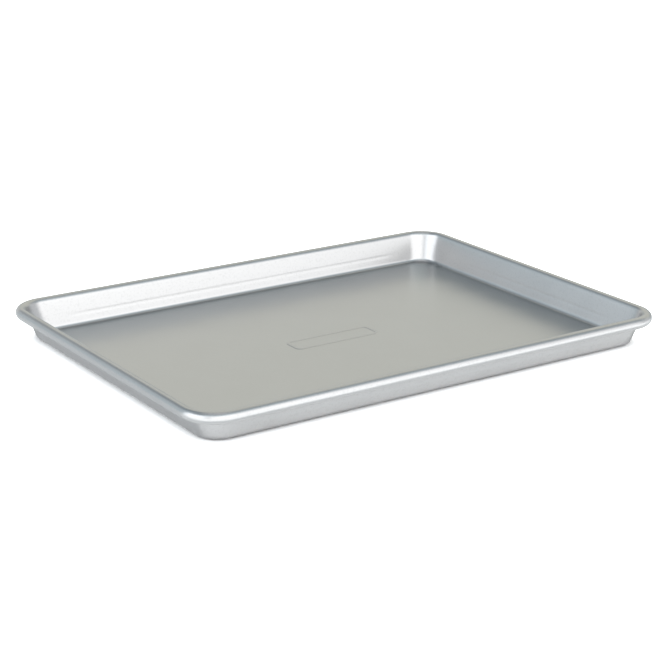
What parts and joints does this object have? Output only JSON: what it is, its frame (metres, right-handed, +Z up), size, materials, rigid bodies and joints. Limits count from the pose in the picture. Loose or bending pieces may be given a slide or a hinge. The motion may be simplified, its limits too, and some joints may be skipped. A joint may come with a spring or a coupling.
{
  "type": "jelly roll pan",
  "caption": "Shallow rectangular baking pan of drawn sheet metal, with flared and ribbed walls and a rolled rim that holds a steel rod.",
  "frame": {"origin": "centre of the underside, on the surface that the pan stands on", "axes": "+X along the long side, +Y along the short side, +Z up out of the open side"},
  "size_m": [0.406, 0.304, 0.025],
  "materials": {
    "pan_coating": "satin metallic non-stick coating over drawn steel sheet",
    "rim_rod": "bare drawn steel rod"
  },
  "bodies": {
    "root": {"pan_body": "pan_coating", "rim_wire": "rim_rod"}
  },
  "joints": []
}
